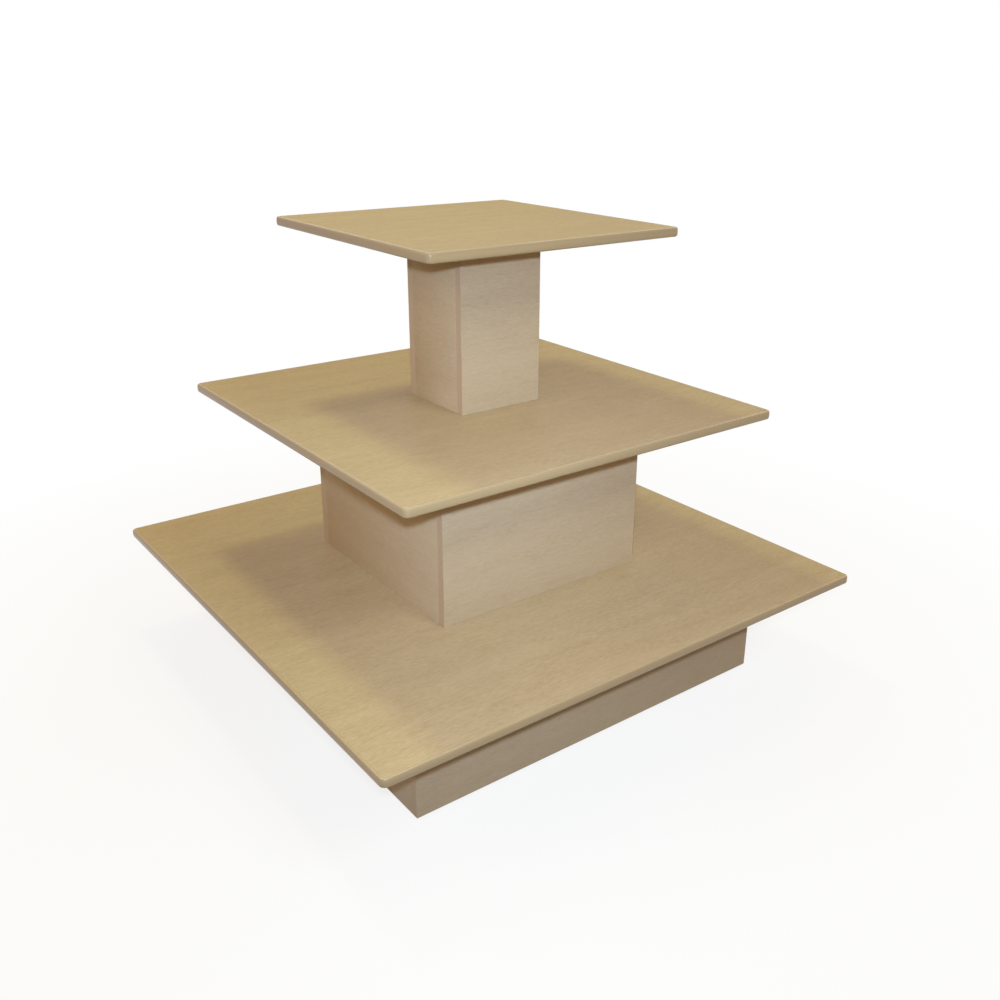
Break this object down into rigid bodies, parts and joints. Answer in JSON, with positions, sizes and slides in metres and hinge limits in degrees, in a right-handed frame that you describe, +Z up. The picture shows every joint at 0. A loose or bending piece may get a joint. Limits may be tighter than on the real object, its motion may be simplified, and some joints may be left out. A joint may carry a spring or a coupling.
{
  "type": "tiered display table",
  "caption": "Square tiered shop display table: stacked laminate decks, each smaller than the one below, on hollow box risers over a plinth with levelling feet.",
  "frame": {"origin": "on the floor, under the middle of the table", "axes": "+Z up; -Y towards the front, which is the right-hand visible side in the picture; +X to the right of someone facing that front"},
  "size_m": [1.219, 1.219, 1.016],
  "materials": {
    "maple_laminate": "satin",
    "maple_edge_band": "satin",
    "softwood": "matte",
    "zinc_plated_steel": "satin",
    "black_nylon": "matte"
  },
  "bodies": {
    "table": {"plinth_front_panel": "maple_laminate", "plinth_back_panel": "maple_laminate", "plinth_left_panel": "maple_laminate", "plinth_right_panel": "maple_laminate", "plinth_corner_block_front_left": "softwood", "plinth_corner_block_front_right": "softwood", "plinth_corner_block_back_left": "softwood", "plinth_corner_block_back_right": "softwood", "plinth_left_deck_cleat": "softwood", "plinth_right_deck_cleat": "softwood", "plinth_centre_rail": "softwood", "leveller_tee_nut_front_left": "zinc_plated_steel", "leveller_tee_nut_front_right": "zinc_plated_steel", "leveller_tee_nut_back_left": "zinc_plated_steel", "leveller_tee_nut_back_right": "zinc_plated_steel", "lower_deck_board": "maple_laminate", "lower_deck_edge_band": "maple_edge_band", "lower_deck_screw_front_left": "zinc_plated_steel", "lower_deck_screw_front_right": "zinc_plated_steel", "lower_deck_screw_back_left": "zinc_plated_steel", "lower_deck_screw_back_right": "zinc_plated_steel", "middle_riser_foot_screw_front_left": "zinc_plated_steel", "middle_riser_foot_screw_front_right": "zinc_plated_steel", "middle_riser_foot_screw_back_left": "zinc_plated_steel", "middle_riser_foot_screw_back_right": "zinc_plated_steel", "middle_riser_front_panel": "maple_laminate", "middle_riser_back_panel": "maple_laminate", "middle_riser_left_panel": "maple_laminate", "middle_riser_right_panel": "maple_laminate", "middle_riser_left_deck_cleat": "softwood", "middle_riser_right_deck_cleat": "softwood", "middle_deck_board": "maple_laminate", "middle_deck_edge_band": "maple_edge_band", "middle_deck_screw_front_left": "zinc_plated_steel", "middle_deck_screw_front_right": "zinc_plated_steel", "middle_deck_screw_back_left": "zinc_plated_steel", "middle_deck_screw_back_right": "zinc_plated_steel", "column_foot_screw_front_left": "zinc_plated_steel", "column_foot_screw_front_right": "zinc_plated_steel", "column_foot_screw_back_left": "zinc_plated_steel", "column_foot_screw_back_right": "zinc_plated_steel", "column_front_panel": "maple_laminate", "column_back_panel": "maple_laminate", "column_left_panel": "maple_laminate", "column_right_panel": "maple_laminate", "column_head_plate": "softwood", "top_deck_board": "maple_laminate", "top_deck_edge_band": "maple_edge_band", "top_deck_screw_front_left": "zinc_plated_steel", "top_deck_screw_front_right": "zinc_plated_steel", "top_deck_screw_back_left": "zinc_plated_steel", "top_deck_screw_back_right": "zinc_plated_steel"},
    "pad_front_left": {"leveller_pad_front_left": "black_nylon"},
    "pad_front_right": {"leveller_pad_front_right": "black_nylon"},
    "pad_back_left": {"leveller_pad_back_left": "black_nylon"},
    "pad_back_right": {"leveller_pad_back_right": "black_nylon"},
    "stem_front_left": {"leveller_stem_front_left": "zinc_plated_steel"},
    "stem_front_right": {"leveller_stem_front_right": "zinc_plated_steel"},
    "stem_back_left": {"leveller_stem_back_left": "zinc_plated_steel"},
    "stem_back_right": {"leveller_stem_back_right": "zinc_plated_steel"}
  },
  "joints": [
    {"name": "pad_lift_front_left", "type": "slide", "parent": "table", "child": "pad_front_left", "axis": [0, 0, -1], "range_m": [0, 0.02]},
    {"name": "pad_lift_front_right", "type": "slide", "parent": "table", "child": "pad_front_right", "axis": [0, 0, -1], "range_m": [0, 0.02]},
    {"name": "pad_lift_back_left", "type": "slide", "parent": "table", "child": "pad_back_left", "axis": [0, 0, -1], "range_m": [0, 0.02]},
    {"name": "pad_lift_back_right", "type": "slide", "parent": "table", "child": "pad_back_right", "axis": [0, 0, -1], "range_m": [0, 0.02]},
    {"name": "stem_turn_front_left", "type": "hinge", "parent": "pad_front_left", "child": "stem_front_left", "pos_m": [-0.40575, -0.40575, 0.01], "axis": [0, 0, -1], "range_deg": [0, 5760]},
    {"name": "stem_turn_front_right", "type": "hinge", "parent": "pad_front_right", "child": "stem_front_right", "pos_m": [0.40575, -0.40575, 0.01], "axis": [0, 0, -1], "range_deg": [0, 5760]},
    {"name": "stem_turn_back_left", "type": "hinge", "parent": "pad_back_left", "child": "stem_back_left", "pos_m": [-0.40575, 0.40575, 0.01], "axis": [0, 0, -1], "range_deg": [0, 5760]},
    {"name": "stem_turn_back_right", "type": "hinge", "parent": "pad_back_right", "child": "stem_back_right", "pos_m": [0.40575, 0.40575, 0.01], "axis": [0, 0, -1], "range_deg": [0, 5760]}
  ],
  "couplings": [
    {"joint": "stem_turn_front_left", "follows": "pad_lift_front_left", "rad_per_m": 5026.5},
    {"joint": "stem_turn_front_right", "follows": "pad_lift_front_right", "rad_per_m": 5026.5},
    {"joint": "stem_turn_back_left", "follows": "pad_lift_back_left", "rad_per_m": 5026.5},
    {"joint": "stem_turn_back_right", "follows": "pad_lift_back_right", "rad_per_m": 5026.5}
  ]
}
